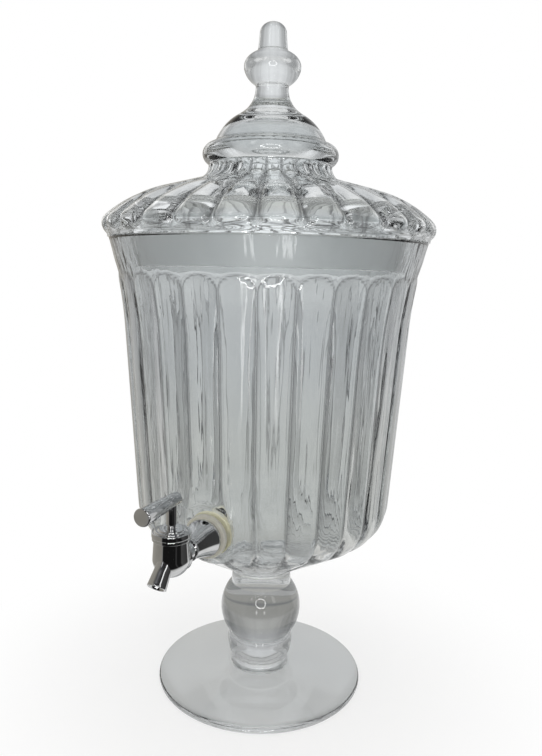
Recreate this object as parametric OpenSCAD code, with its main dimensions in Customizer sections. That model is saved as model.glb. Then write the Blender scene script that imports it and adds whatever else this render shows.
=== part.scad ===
// Footed glass beverage dispenser: lobed tank on a ball stem, lift-off lid, quarter-turn tap.
// Millimetres. +Z is up, the foot rests on Z = 0, the tap points along -Y.

/* [Foot] */
// Diameter of the foot
foot_d = 182; // [140:1:220]
// Thickness of the foot at its rounded edge
foot_edge_h = 4; // [3:0.5:8]
// Rise of the foot from its edge to the neck
foot_rise = 10.5; // [4:0.5:20]
// Diameter of the neck above the foot
foot_neck_d = 48.6; // [36:0.2:52]
// Height of the neck above the rise
foot_neck_h = 4.5; // [4:0.5:14]
// Fillet between the foot and its neck
foot_fillet_r = 4; // [2:0.5:4.5]

/* [Stem] */
// Largest diameter of the rounded ring
ring_d = 57.4; // [54:0.2:70]
// Height of the ring
ring_h = 22; // [14:0.5:28]
// Diameter of the ball
ball_d = 71.2; // [58:0.2:90]
// Diameter of the flat seats above and below the ball
seat_d = 53; // [46:0.5:54]

/* [Tank] */
// Height of the tank from its seat on the ball to the rim
tank_h = 299.4; // [260:0.5:360]
// Diameter at the narrowest part of the tank neck
tank_neck_d = 52; // [44:0.2:52.6]
// Height of the tank neck below its fillet
tank_neck_h = 10.87; // [6:0.01:14]
// Fillet between the tank neck and the underside
tank_fillet_r = 5; // [3:0.5:12]
// Slope of the conical underside
tank_cone_a = 30; // [22:0.5:36]
// Diameter where the lines of the underside and the wall meet
tank_corner_d = 214.8; // [190:0.2:230]
// Rounding between the underside and the wall
tank_corner_r = 36; // [20:0.5:40]
// Outward lean of the wall
tank_lean_a = 3.76; // [1:0.02:5]
// Outer diameter of the rim
rim_d = 261; // [250:0.5:270]
// Height of the flare below the rim
flare_h = 70; // [50:1:90]
// Glass thickness of the tank, measured at a lobe's crest
tank_wall = 6.5; // [5:0.1:9]
// Diameter of the flat floor inside the tank
floor_d = 52; // [30:1:80]
// Glass between the ball seat and the floor
floor_h = 31; // [28:0.5:40]

/* [Lobes] */
// Lobes round the tank and the lid
lobe_count = 28; // [20:2:32]
// Depth of the creases between the tank's lobes
tank_lobe_depth = 2.4; // [1:0.1:3.5]
// Depth of the creases between the lid's lobes
lid_lobe_depth = 3.6; // [1.5:0.1:4.5]
// Height of the rounded lobe tops
arch_h = 11; // [6:0.5:20]
// Smooth band between the lobe tops and the rim
band_h = 27; // [20:0.5:40]

/* [Lid] */
// Overhang of the lid beyond the rim, on each side
lid_overhang = 5.3; // [3:0.1:14]
// Radius of the rounded lid edge
lid_edge_r = 9; // [7:0.5:10]
// Height of the edge's centre above the rim
lid_edge_h = 10; // [8:0.5:14]
// Slope where the edge runs into the dome
lid_outer_a = 42; // [34:0.5:46]
// Slope of the inner part of the dome
lid_inner_a = 15.5; // [10:0.5:22]
// Radius of the dome's bend
lid_bend_r = 100; // [80:1:115]
// Diameter of the lid neck under the crown
lid_neck_d = 101; // [90:0.5:116]
// Fillet between the dome and the lid neck
lid_fillet_r = 12.5; // [8:0.5:18]
// Glass thickness of the lid, measured at a lobe's crest
lid_wall = 7.5; // [6:0.1:9]
// Overhang of the plain flange that rests on the rim, on each side
flange_overhang = 1; // [0:0.25:1.5]
// Gap between the skirt and the inside of the rim
skirt_gap = 11; // [9:0.5:16]
// Drop of the skirt below the rim
skirt_h = 21; // [10:0.5:30]
// Thickness of the skirt
skirt_wall = 6; // [4:0.5:9]
// Taper of the skirt's outside over its drop
skirt_taper = 2; // [0:0.1:3]

/* [Crown and finial] */
// Largest diameter of the bead ring
bead_d = 111.2; // [105:0.2:125]
// Height of the bead ring
bead_h = 17; // [12:0.5:22]
// Diameter of the cap dome above the bead
cap_d = 92; // [88:0.5:96]
// Radius of the cap dome's bend
cap_bend_r = 42; // [38:0.5:46]
// Slope where the cap dome runs into the finial neck
cap_slope_a = 22.5; // [18:0.5:30]
// Radius of the hollow curve below the finial
cap_fillet_r = 12; // [8:0.5:16]
// Diameter of the finial neck
finial_neck_d = 26.6; // [22:0.2:34]
// Straight neck below the knop
finial_neck_h = 9.8; // [4:0.2:16]
// Glass thickness of the crown
crown_wall = 7; // [5:0.1:8]
// Diameter of the knop
knop_d = 46; // [42:0.5:60]
// Depth of the knop's lower half, as a full half ellipse
knop_low_h = 17.4; // [14:0.2:22]
// Height of the knop's flatter upper half, as a full half ellipse
knop_high_h = 13.2; // [10:0.2:20]
// Diameter of the tip where it leaves the knop
tip_d = 23.8; // [18:0.2:30]
// Height of the tip
tip_h = 22.6; // [14:0.2:32]

/* [Tap fitting] */
// Height of the tap axis above the meeting line of wall and underside
tap_rise = 19; // [16:0.5:60]
// Depth of the flat pad below the lobe crests
pad_sink = 2.7; // [2:0.1:4]
// Glass thickness at the pad
pad_wall = 6.5; // [5:0.1:8]
// Diameter of the ground face on the pad
pad_d = 38; // [37:0.5:42]
// Distance from the tank's axis at which the glass boss runs into the underside
pad_root_r = 66; // [56:1:76]
// Rounding of the boss at its root
pad_round_r = 14; // [8:0.5:18]
// Diameter of the hole in the tank wall
tap_hole_d = 17; // [16.4:0.1:18]
// Outer diameter of the outer washer
outer_washer_d = 34; // [31:0.5:36.5]
// Thickness of the outer washer
outer_washer_h = 4.5; // [2:0.5:7]
// Outer diameter of the inner washer
inner_washer_d = 35; // [31:0.5:36]
// Thickness of the inner washer
inner_washer_h = 3; // [2:0.5:5]
// Width across the flats of the lock nut
nut_af = 30; // [22:0.5:31]
// Thickness of the lock nut
nut_h = 8; // [5:0.5:10]
// Outer diameter of the threaded shank
shank_d = 15.4; // [14:0.1:16]
// Bore of the shank
shank_bore_d = 8.4; // [6:0.1:8.8]
// Shank beyond the lock nut
shank_over = 4; // [1:0.5:8]
// Spacing of the thread ridges
thread_pitch = 1.8; // [1.2:0.1:2.4]
// Depth of the thread ridges
thread_depth = 0.7; // [0.3:0.05:0.9]

/* [Tap body] */
// Large diameter of the bell-shaped collar
collar_d = 28.4; // [24:0.2:34]
// Small diameter of the collar
collar_end_d = 16.8; // [16.4:0.1:18]
// Length of the collar
collar_h = 24; // [14:0.5:26]
// Distance from the collar's large end to the barrel axis
barrel_reach = 47; // [45:0.5:60]
// Diameter of the neck between the shoulder ring and the barrel
inlet_neck_d = 15.2; // [12:0.2:16.4]
// Diameter of the shoulder ring
shoulder_d = 17.6; // [16.8:0.1:19]
// Width of the shoulder ring
shoulder_h = 2; // [1:0.1:4]
// Height of the barrel's rounding centre above the tap axis
barrel_lift = 2.5; // [0:0.1:3]
// Diameter of the barrel at its rounding centre
barrel_d = 25.6; // [24.6:0.2:30]
// Diameter of the barrel at its top
barrel_top_d = 23.8; // [23:0.2:25.6]
// Height of the barrel above its rounding centre
barrel_h = 16; // [15:0.1:22]
// Diameter of the lip at the top of the barrel
lip_d = 26.2; // [25.8:0.2:31]
// Height of the lip
lip_h = 2.2; // [1:0.1:4]
// Bore for the valve plug
plug_bore_d = 14.1; // [12.4:0.1:14.6]
// Barrel wall left at the lower corner of the plug bore
barrel_wall = 1.4; // [1.2:0.1:2]
// Diameter of the recess for the bonnet's spigot
spigot_bore_d = 19; // [17:0.2:21]

/* [Spout] */
// Lean of the spout from the vertical
spout_a = 42; // [30:1:50]
// Reach of the outlet in front of the barrel axis
spout_reach = 19.2; // [18:0.2:26]
// Drop of the outlet below the rounding centre
spout_drop = 13.4; // [11:0.2:20]
// Outer diameter of the spout in the barrel
spout_d = 11.8; // [11:0.1:12.8]
// Outer diameter of the flared outlet
outlet_d = 13.4; // [12.4:0.1:15]
// Length of the spout's flare
spout_flare_l = 12; // [5:0.5:14]
// Bore of the spout
spout_bore_d = 9.2; // [7:0.1:9.6]

/* [Bonnet] */
// Diameter of the bonnet flange
bonnet_d = 26.8; // [26.4:0.2:32]
// Thickness of the bonnet flange
bonnet_h = 3.6; // [2.6:0.1:6]
// Depth of the bonnet's spigot
spigot_h = 4.2; // [3.6:0.1:4.4]
// Diameter of the first step on the bonnet
step_d = 23.4; // [20:0.2:25]
// Diameter of the second step on the bonnet
boss_d = 18.2; // [12:0.2:19]
// Height of each step
step_h = 0.9; // [0.4:0.1:2]
// Thickness of the gasket under the spigot
gasket_h = 1.5; // [0.8:0.1:2]

/* [Valve plug and handle] */
// Diameter of the cross port
port_d = 6.4; // [4:0.1:6.8]
// Diameter of the spindle
spindle_d = 6; // [5.4:0.1:6.4]
// Diameter of the handle post
post_d = 8; // [7.4:0.1:8.6]
// Bare spindle between the bonnet and the post
spindle_gap = 2.8; // [1:0.1:8]
// Height of the bar axis above the barrel's rounding centre
bar_rise = 40.4; // [37:0.5:50]
// Diameter of the bar at its front end
bar_front_d = 12.4; // [11:0.1:16]
// Diameter of the bar at its back end
bar_back_d = 9.6; // [9.4:0.1:12]
// Length of the bar in front of the spindle
bar_front_l = 36; // [20:0.5:50]
// Length of the bar behind the spindle
bar_back_l = 7.2; // [6.6:0.1:12]
// Bevel of the bar's ends
bar_bevel = 0.9; // [0.3:0.1:1.5]
// Diameter of the set screw
screw_d = 3; // [2:0.1:4]
// Quarter turn between closed and open
turn_a = 90; // [60:5:120]
// Diameter of the stop pin
pin_d = 1.2; // [0.8:0.1:1.3]

/* [Clearances] */
// Radial clearance of turning fits
run_gap = 0.05; // [0.02:0.01:0.08]
// Radial clearance of fixed fits
fit_gap = 0.03; // [0.01:0.01:0.06]
// Clearance between faces that must not rub
face_gap = 0.4; // [0.3:0.05:0.6]

/* [Hidden] */
$fn = 96;

glass_c = [0.82, 0.86, 0.88, 0.5];
chrome_c = [0.78, 0.78, 0.8];
silicone_c = [0.9, 0.87, 0.72];
rubber_c = [0.15, 0.15, 0.16];
nut_c = [0.88, 0.86, 0.78];

lobe_steps = 4;
far = 60;

// Heights of the stacked glass pieces
foot_h = foot_edge_h + foot_rise + foot_neck_h;
ring_top = foot_h + ring_h;
ball_half = sqrt(pow(ball_d / 2, 2) - pow(seat_d / 2, 2));
tank_z = ring_top + 2 * ball_half;
rim_z = tank_z + tank_h;

// Lines of the tank's underside and wall
fillet_z = tank_z + tank_neck_h;
fillet_turn = 90 - tank_cone_a;
cone_r = tank_neck_d / 2 + tank_fillet_r * (1 - cos(fillet_turn));
cone_z = fillet_z + tank_fillet_r * sin(fillet_turn);
corner_z = cone_z + (tank_corner_d / 2 - cone_r) * tan(tank_cone_a);
corner_turn = 90 - tank_cone_a - tank_lean_a;
corner_run = tank_corner_r * tan(corner_turn / 2);
corner_c = [tank_corner_d / 2 - corner_run * cos(tank_cone_a) - tank_corner_r * sin(tank_cone_a),
    corner_z - corner_run * sin(tank_cone_a) + tank_corner_r * cos(tank_cone_a)];
cone_mid_r = (cone_r + tank_corner_d / 2 - corner_run * cos(tank_cone_a)) / 2;
wall_z = corner_z + corner_run * cos(tank_lean_a);
flare_z = rim_z - flare_h;
flare_out = rim_d / 2 - tank_corner_d / 2 - (rim_z - corner_z) * tan(tank_lean_a);
arch_z = rim_z - band_h - arch_h;
floor_z = tank_z + floor_h;

// Lines of the lid
lid_d = rim_d + 2 * lid_overhang;
flange_d = rim_d + 2 * flange_overhang;
skirt_d = rim_d - 2 * (tank_wall + skirt_gap);
edge_c = [lid_d / 2 - lid_edge_r, rim_z + lid_edge_h];
bend_end_r = edge_c[0] + lid_edge_r * sin(lid_outer_a)
    - lid_bend_r * (sin(lid_outer_a) - sin(lid_inner_a));
bend_c = [edge_c[0] + (lid_edge_r - lid_bend_r) * sin(lid_outer_a),
    edge_c[1] + (lid_edge_r - lid_bend_r) * cos(lid_outer_a)];
neck_r = lid_neck_d / 2;
neck_c_r = neck_r + lid_fillet_r;
slope_z = bend_c[1] + lid_bend_r * cos(lid_inner_a);
fillet_r = neck_c_r - lid_fillet_r * sin(lid_inner_a);
neck_c = [neck_c_r,
    slope_z + (bend_end_r - fillet_r) * tan(lid_inner_a) + lid_fillet_r * cos(lid_inner_a)];
lid_top = neck_c[1];

// Lines of the crown and the finial
bead_r = bead_h / 2;
bead_c = [bead_d / 2 - bead_r, lid_top + bead_r];
bead_low_a = acos(max(-1, min(1, (neck_r - bead_c[0]) / bead_r)));
cap_z = lid_top + bead_h;
cap_side_a = 70.5;
cap_c = [cap_d / 2 - cap_bend_r * sin(cap_side_a), cap_z - cap_bend_r * cos(cap_side_a)];
cap_end = [cap_c[0] + cap_bend_r * sin(cap_slope_a), cap_c[1] + cap_bend_r * cos(cap_slope_a)];
cap_fillet_c_r = finial_neck_d / 2 + cap_fillet_r;
cap_fillet_start = cap_fillet_c_r - cap_fillet_r * sin(cap_slope_a);
cap_fillet_c = [cap_fillet_c_r,
    cap_end[1] + (cap_end[0] - cap_fillet_start) * tan(cap_slope_a) + cap_fillet_r * cos(cap_slope_a)];
finial_z = cap_fillet_c[1] + finial_neck_h;
knop_drop = knop_low_h * sqrt(1 - pow(finial_neck_d / knop_d, 2));
knop_lift = knop_high_h * sqrt(1 - pow(tip_d / knop_d, 2));
knop_z = finial_z + knop_drop;
tip_z = knop_z + knop_lift;

// Places along the tap axis, measured outward from the tank's axis
tap_z = corner_z + tap_rise;
pad_y = tank_corner_d / 2 + tap_rise * tan(tank_lean_a) - pad_sink;
pad_in_y = pad_y - pad_wall;
pad_rim_d = pad_d + 5;
collar_y = pad_y + outer_washer_h;
shoulder_y = collar_y + collar_h;
barrel_y = collar_y + barrel_reach;
nut_y = pad_in_y - inner_washer_h;
shank_y = nut_y - nut_h - shank_over;

// Depths in the barrel, then heights above its rounding centre
plug_drop = sqrt(pow(barrel_d / 2 - barrel_wall, 2) - pow(plug_bore_d / 2, 2));
spout_seat_h = barrel_wall - face_gap;
gasket_z = barrel_h - spigot_h - gasket_h;
plug_top = barrel_h - spigot_h - face_gap;
bonnet_top = barrel_h + bonnet_h + 2 * step_h;
post_z = bonnet_top + spindle_gap;
post_top = bar_rise + screw_d / 2 + 1;
spindle_top = post_top - 2;
seal_r = 0.75;
port_z = -barrel_lift;
seal_high = (port_z + port_d / 2 + gasket_z) / 2;
seal_low = (port_z - port_d / 2 + face_gap - plug_drop) / 2;
stem_seal_r = 0.65;
gland_r = spindle_d / 2 + 2 * stem_seal_r + 2 * fit_gap;
gland_h = 2.2;
pin_track_r = gland_r + 0.55 + pin_d / 2 + face_gap;
pin_h = 1.8;
pin_seat_h = 2;

// Points of an arc, and even steps that leave out the last value
function arc(c, r, a, b, n) = [for (i = [0:n]) let (t = a + (b - a) * i / n) c + r * [cos(t), sin(t)]];
function steps(a, b, n) = [for (i = [0:n - 1]) a + (b - a) * i / n];

// Crest radius of the tank's wall and flare at a height
function flare(z) = z < flare_z ? 0 : flare_out * pow((z - flare_z) / flare_h, 2);
function wall_r(z) = tank_corner_d / 2 + (z - corner_z) * tan(tank_lean_a) + flare(z);

// Heights of the wall, the rounded lobe tops and the band
wall_heights = concat(steps(wall_z, arch_z, 8),
    [for (v = [0, 0.5, 0.85, 1, 1.15, 1.35]) arch_z + v * arch_h],
    steps(arch_z + 1.7 * arch_h, rim_z, 3), [rim_z]);

tank_crest = concat([[seat_d / 2, tank_z]],
    arc([tank_neck_d / 2 + tank_fillet_r, fillet_z], tank_fillet_r, 180, 180 - fillet_turn, 5),
    [[cone_mid_r, cone_z + (cone_mid_r - cone_r) * tan(tank_cone_a)]],
    arc(corner_c, tank_corner_r, tank_cone_a - 90, -tank_lean_a, 7),
    [for (z = wall_heights) if (z > wall_z) [wall_r(z), z]]);

// The hollow follows the wall at an even thickness
tank_hollow = concat([[0, floor_z], [floor_d / 2, floor_z]],
    arc(corner_c, tank_corner_r - tank_wall, tank_cone_a - 90, -tank_lean_a, 10),
    [for (z = steps(wall_z, rim_z, 12)) if (z > wall_z) [wall_r(z) - tank_wall, z]],
    [[rim_d / 2 - tank_wall, rim_z], [rim_d / 2 - tank_wall, rim_z + 1], [0, rim_z + 1]]);

lid_crest = concat([[flange_d / 2, rim_z]],
    arc(edge_c, lid_edge_r, -50, 90 - lid_outer_a, 7),
    [for (a = steps(lid_outer_a, lid_inner_a, 5)) if (a < lid_outer_a)
        bend_c + lid_bend_r * [sin(a), cos(a)]],
    [for (r = steps(bend_end_r, fillet_r, 3)) [r, slope_z + (bend_end_r - r) * tan(lid_inner_a)]],
    arc(neck_c, lid_fillet_r, 270 - lid_inner_a, 180, 6));

// Lobes: place across a lobe from crease to crease, and turn of each column of points
function lobe_u(j) = 2 * (j % lobe_steps) / lobe_steps - 1;
function lobe_a(j) = -90 + (j - lobe_steps / 2) * 360 / (lobe_count * lobe_steps);

// Outward direction of a line of points
function outward(p, i) = let (d = p[min(len(p) - 1, i + 1)] - p[max(0, i - 1)]) [d[1], -d[0]] / norm(d);

// Sink of the tank's surface below its crest line, with rounded lobe tops under the band
function tank_sink(u, p) = let (v = max(0, p[1] - arch_z) / arch_h, q = norm([u, v]),
        full = tank_lobe_depth * min(1, max(0, (p[0] - cone_r) / (tank_corner_d / 2 - cone_r))))
    full * (q < 1 ? q * q : max(0, 1 - (q - 1) / 0.35));

// Sink of the lid's surface, deepest at the edge and shallow at the neck
function lid_sink(u, p) = p[1] < rim_z + 3.5 || p[1] > lid_top - 1 ? 0
    : lid_lobe_depth * u * u * min(1, p[0] / edge_c[0]) * min(1, (p[1] - rim_z - 3) / 5);

function ring_of(p, n, sinks) = [for (j = [0:len(sinks) - 1]) let (q = p - n * sinks[j], a = lobe_a(j))
    [q[0] * cos(a), q[0] * sin(a), q[1]]];
columns = [0:lobe_count * lobe_steps - 1];

// Closed skin through rings of points, flat at both ends
module skin(rings) {
    n = len(rings[0]);
    last = (len(rings) - 1) * n;
    sides = [for (i = [0:len(rings) - 2], j = [0:n - 1])
        let (a = i * n + j, b = i * n + (j + 1) % n) each [[a, a + n, b + n], [a, b + n, b]]];
    polyhedron([for (ring = rings) each ring],
        concat([[for (j = [0:n - 1]) j]], [[for (j = [n - 1:-1:0]) last + j]], sides));
}

// Solid of revolution through points that run up the outside
module turned(points) {
    rotate_extrude()
        polygon(points);
}

// Lays a solid that stands on Z along the tap axis, from a distance in front of the tank's axis
module along_tap(y) {
    translate([0, -y, tap_z])
        rotate([90, 0, 0])
            children();
}

// Puts children at the centre of the barrel's rounding
module at_barrel() {
    translate([0, -barrel_y, tap_z + barrel_lift])
        children();
}

// Puts children at the spout's outlet, with Z along the spout towards the barrel
module at_outlet() {
    translate([0, -spout_reach, -spout_drop])
        rotate([-spout_a, 0, 0])
            children();
}

module tube(d, bore, h) {
    difference() {
        cylinder(d = d, h = h);
        translate([0, 0, -1])
            cylinder(d = bore, h = h + 2);
    }
}

module o_ring(r, section) {
    rotate_extrude()
        translate([r, 0])
            circle(r = section);
}

module foot() {
    e = foot_edge_h / 2;
    rise_z = foot_edge_h + foot_rise;
    color(glass_c)
        turned(concat([[0, 0]],
            arc([foot_d / 2 - e, e], e, -90, 90, 8),
            arc([foot_neck_d / 2 + foot_fillet_r, rise_z + foot_fillet_r - 1], foot_fillet_r, -96, -180, 6),
            [[foot_neck_d / 2, foot_h], [0, foot_h]]));
}

module stem_ring() {
    low = foot_neck_d / 2;
    high = seat_d / 2;
    bulge = ring_d / 2 - (low + high) / 2;
    n = 14;
    color(glass_c)
        turned(concat([[0, foot_h]],
            [for (i = [0:n]) let (t = (1 - cos(180 * i / n)) / 2)
                [low + (high - low) * t + bulge * sin(180 * i / n), foot_h + ring_h * t]],
            [[0, ring_top]]));
}

module stem_ball() {
    color(glass_c)
        translate([0, 0, ring_top + ball_half])
            intersection() {
                sphere(d = ball_d);
                cylinder(d = ball_d + 2, h = 2 * ball_half, center = true);
            }
}

// Glass boss that runs from the pad down into the underside
module pad_boss() {
    root_z = cone_z + (pad_root_r - cone_r) * tan(tank_cone_a);
    hull() {
        along_tap(pad_in_y)
            cylinder(d = pad_rim_d, h = pad_wall);
        translate([0, pad_round_r * sin(tank_cone_a) - pad_root_r,
            root_z + pad_round_r * cos(tank_cone_a)])
                sphere(r = pad_round_r, $fn = 32);
    }
}

module tank() {
    color(glass_c)
        difference() {
            union() {
                difference() {
                    union() {
                        skin([for (i = [0:len(tank_crest) - 1]) let (p = tank_crest[i])
                            ring_of(p, outward(tank_crest, i), [for (j = columns) tank_sink(lobe_u(j), p)])]);
                        pad_boss();
                    }
                    turned(tank_hollow);
                }
                along_tap(pad_in_y)
                    cylinder(d = pad_rim_d, h = pad_wall);
            }
            along_tap(pad_y)
                cylinder(d = pad_d, h = far);
            along_tap(pad_in_y - far / 2)
                cylinder(d = pad_d, h = far / 2);
            along_tap(pad_in_y - 1)
                cylinder(d = tap_hole_d, h = pad_wall + 2);
        }
}

module lid_shell() {
    low = rim_z - skirt_h;
    low_r = skirt_d / 2 - skirt_taper;
    bevel = 1.5;
    inner_r = low_r - skirt_wall;
    inner_bend = lid_bend_r - lid_wall;
    start_a = asin((inner_r - bend_c[0]) / inner_bend);
    color(glass_c)
        difference() {
            union() {
                skin([for (i = [0:len(lid_crest) - 1]) let (p = lid_crest[i])
                    ring_of(p, outward(lid_crest, i), [for (j = columns) lid_sink(lobe_u(j), p)])]);
                turned([[0, low], [low_r - bevel, low], [low_r, low + bevel],
                    [skirt_d / 2, rim_z], [skirt_d / 2, rim_z + 4], [0, rim_z + 4]]);
            }
            turned(concat([[0, low - 1], [inner_r, low - 1]],
                [for (a = steps(start_a, lid_inner_a, 6)) bend_c + inner_bend * [sin(a), cos(a)]],
                arc(neck_c, lid_fillet_r + lid_wall, 270 - lid_inner_a, 180, 8),
                [[neck_r - lid_wall, lid_top + 1], [0, lid_top + 1]]));
        }
}

module lid_crown() {
    inner_r = neck_r - lid_wall;
    hollow_r = cap_d / 2 - crown_wall;
    hollow_h = cap_end[1] - cap_z - 3;
    color(glass_c)
        difference() {
            turned(concat([[0, lid_top], [neck_r, lid_top]],
                arc(bead_c, bead_r, -bead_low_a, 82, 12),
                arc(cap_c, cap_bend_r, 90 - cap_side_a, 90 - cap_slope_a, 8),
                arc(cap_fillet_c, cap_fillet_r, 270 - cap_slope_a, 180, 8),
                [[finial_neck_d / 2, finial_z], [0, finial_z]]));
            turned(concat([[0, lid_top - 1], [inner_r, lid_top - 1], [inner_r, lid_top + 2]],
                [for (a = [0:10:90]) [hollow_r * cos(a), cap_z + hollow_h * sin(a)]]));
        }
}

module finial() {
    low_a = asin(knop_drop / knop_low_h);
    high_a = asin(knop_lift / knop_high_h);
    n = 16;
    dome_h = tip_h * 0.4;
    color(glass_c)
        turned(concat([[0, finial_z]],
            [for (i = [0:n]) let (a = -low_a + (low_a + high_a) * i / n)
                [knop_d / 2 * cos(a), knop_z + (a < 0 ? knop_low_h : knop_high_h) * sin(a)]],
            [for (a = [0:15:90]) [(tip_d / 2 - 1) * cos(a), tip_z + tip_h - dome_h + dome_h * sin(a)]]));
}

// Threaded shank, from its open end into the shoulder ring
module shank() {
    l = shoulder_y - shank_y + shoulder_h / 2;
    thread_l = pad_y - shank_y;
    n = floor((thread_l - 1) / thread_pitch);
    root = shank_d / 2 - thread_depth;
    turned(concat([[0, 0], [root, 0]],
        [for (i = [0:n - 1]) each [[root, 0.5 + i * thread_pitch],
            [shank_d / 2, 0.5 + (i + 0.4) * thread_pitch], [shank_d / 2, 0.5 + (i + 0.6) * thread_pitch]]],
        [[root, 0.5 + n * thread_pitch], [shank_d / 2, 0.5 + n * thread_pitch + thread_depth],
            [shank_d / 2, l], [0, l]]));
}

// Outside of the barrel, moved outward by a margin
module barrel_form(margin) {
    sphere(d = barrel_d + 2 * margin);
    cylinder(d1 = barrel_d + 2 * margin, d2 = barrel_top_d + 2 * margin, h = barrel_h);
}

// Space the spout fills in the barrel wall, down to its seat
module spout_seat(d) {
    difference() {
        at_outlet()
            cylinder(d = d, h = spout_reach / sin(spout_a));
        barrel_form(-spout_seat_h);
    }
}

module tap_body() {
    color(chrome_c)
        difference() {
            union() {
                along_tap(shank_y)
                    shank();
                along_tap(shoulder_y)
                    cylinder(d = shoulder_d, h = shoulder_h);
                along_tap(shoulder_y)
                    cylinder(d = inlet_neck_d, h = barrel_y - shoulder_y);
                at_barrel() {
                    barrel_form(0);
                    translate([0, 0, barrel_h - lip_h])
                        cylinder(d = lip_d, h = lip_h);
                }
            }
            along_tap(shank_y - 1)
                cylinder(d = shank_bore_d, h = barrel_y - shank_y);
            at_barrel() {
                translate([0, 0, -plug_drop])
                    cylinder(d = plug_bore_d, h = far);
                translate([0, 0, gasket_z])
                    cylinder(d = spigot_bore_d, h = far);
                spout_seat(spout_d + 2 * fit_gap);
                translate([0, 0, port_z])
                    rotate([90, 0, 0])
                        cylinder(d = port_d, h = barrel_d / 2);
            }
        }
}

module spout_tube() {
    mouth_d = spout_bore_d + 1.8;
    mouth_l = 2;
    color(chrome_c)
        at_barrel()
            difference() {
                union() {
                    spout_seat(spout_d);
                    difference() {
                        at_outlet()
                            cylinder(d1 = outlet_d, d2 = spout_d, h = spout_flare_l);
                        barrel_form(fit_gap);
                    }
                }
                at_outlet()
                    translate([0, 0, -1])
                        cylinder(d = spout_bore_d, h = far);
                at_outlet()
                    cylinder(d1 = mouth_d, d2 = spout_bore_d, h = mouth_l);
            }
}

module collar() {
    rim_r = collar_d / 2;
    end_r = collar_end_d / 2;
    lip = 2.4;
    bevel = 0.6;
    color(chrome_c)
        along_tap(collar_y)
            difference() {
                turned(concat([[0, 0], [rim_r - bevel, 0], [rim_r, bevel], [rim_r, lip]],
                    [for (i = [1:8]) let (t = i / 8)
                        [end_r + (rim_r - end_r) * (1 - t) * (1 - 0.35 * t), lip + (collar_h - lip) * t]],
                    [[0, collar_h]]));
                translate([0, 0, -1])
                    cylinder(d = shank_d + 2 * fit_gap, h = collar_h + 2);
            }
}

module outer_washer() {
    color(silicone_c)
        along_tap(pad_y)
            tube(outer_washer_d, shank_d + 2 * fit_gap, outer_washer_h);
}

module inner_washer() {
    color(silicone_c)
        along_tap(nut_y)
            tube(inner_washer_d, shank_d + 2 * fit_gap, inner_washer_h);
}

module lock_nut() {
    color(nut_c)
        along_tap(nut_y - nut_h)
            difference() {
                cylinder(d = nut_af / cos(30), h = nut_h, $fn = 6);
                translate([0, 0, -1])
                    cylinder(d = shank_d + 2 * fit_gap, h = nut_h + 2);
            }
}

module bonnet() {
    track_a = asin((pin_d / 2 + face_gap) / pin_track_r);
    rim_r = bonnet_d / 2;
    bevel = 0.7;
    inset = 0.4;
    color(chrome_c)
        at_barrel()
            difference() {
                union() {
                    translate([0, 0, barrel_h - spigot_h])
                        cylinder(d = spigot_bore_d - 2 * fit_gap, h = spigot_h + 1);
                    translate([0, 0, barrel_h])
                        turned([[0, 0], [rim_r - bevel, 0], [rim_r, bevel], [rim_r, bonnet_h - bevel],
                            [rim_r - bevel, bonnet_h], [step_d / 2, bonnet_h],
                            [step_d / 2 - inset, bonnet_h + step_h], [boss_d / 2, bonnet_h + step_h],
                            [boss_d / 2 - inset, bonnet_h + 2 * step_h], [0, bonnet_h + 2 * step_h]]);
                }
                translate([0, 0, -1])
                    cylinder(d = spindle_d + 2 * run_gap, h = far);
                cylinder(r = gland_r, h = barrel_h - spigot_h + gland_h);
                rotate([0, 0, -90 - track_a])
                    translate([0, 0, plug_top])
                        rotate_extrude(angle = turn_a + 2 * track_a)
                            translate([pin_track_r - pin_d / 2 - face_gap, 0])
                                square([pin_d + 2 * face_gap, 2 * face_gap + pin_h]);
            }
}

module bonnet_gasket() {
    color(rubber_c)
        at_barrel()
            translate([0, 0, gasket_z])
                tube(spigot_bore_d - 2 * fit_gap, plug_bore_d + 2 * face_gap, gasket_h);
}

module stem_o_ring() {
    color(rubber_c)
        at_barrel()
            translate([0, 0, barrel_h - spigot_h + gland_h - stem_seal_r])
                o_ring(spindle_d / 2 + stem_seal_r + run_gap, stem_seal_r);
}

module valve_plug() {
    plug_r = plug_bore_d / 2 - run_gap;
    color(chrome_c)
        at_barrel()
            difference() {
                union() {
                    translate([0, 0, face_gap - plug_drop])
                        cylinder(r = plug_r, h = plug_top - face_gap + plug_drop);
                    cylinder(d = spindle_d, h = spindle_top);
                }
                translate([0, 0, port_z])
                    rotate([0, 90, 0])
                        cylinder(d = port_d, h = plug_bore_d, center = true);
                for (z = [seal_high, seal_low])
                    translate([0, 0, z - seal_r])
                        tube(plug_bore_d + 2, 2 * (plug_r - 2 * seal_r), 2 * seal_r);
                translate([0, -pin_track_r, plug_top - pin_seat_h])
                    cylinder(d = pin_d + 2 * fit_gap, h = pin_seat_h + 1);
            }
}

module plug_o_rings() {
    color(rubber_c)
        at_barrel()
            for (z = [seal_high, seal_low])
                translate([0, 0, z])
                    o_ring(plug_bore_d / 2 - run_gap - seal_r, seal_r);
}

module stop_pin() {
    color(chrome_c)
        at_barrel()
            translate([0, -pin_track_r, plug_top - pin_seat_h])
                cylinder(d = pin_d, h = pin_seat_h + pin_h);
}

module handle_post() {
    color(chrome_c)
        at_barrel()
            difference() {
                translate([0, 0, post_z])
                    cylinder(d = post_d, h = post_top - post_z);
                translate([0, 0, post_z - 1])
                    cylinder(d = spindle_d + 2 * fit_gap, h = spindle_top - post_z + 1);
            }
}

// Lays a solid that stands on Z along the bar, from a distance behind the spindle
module along_bar(y) {
    at_barrel()
        translate([0, y, bar_rise])
            rotate([90, 0, 0])
                children();
}

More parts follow.
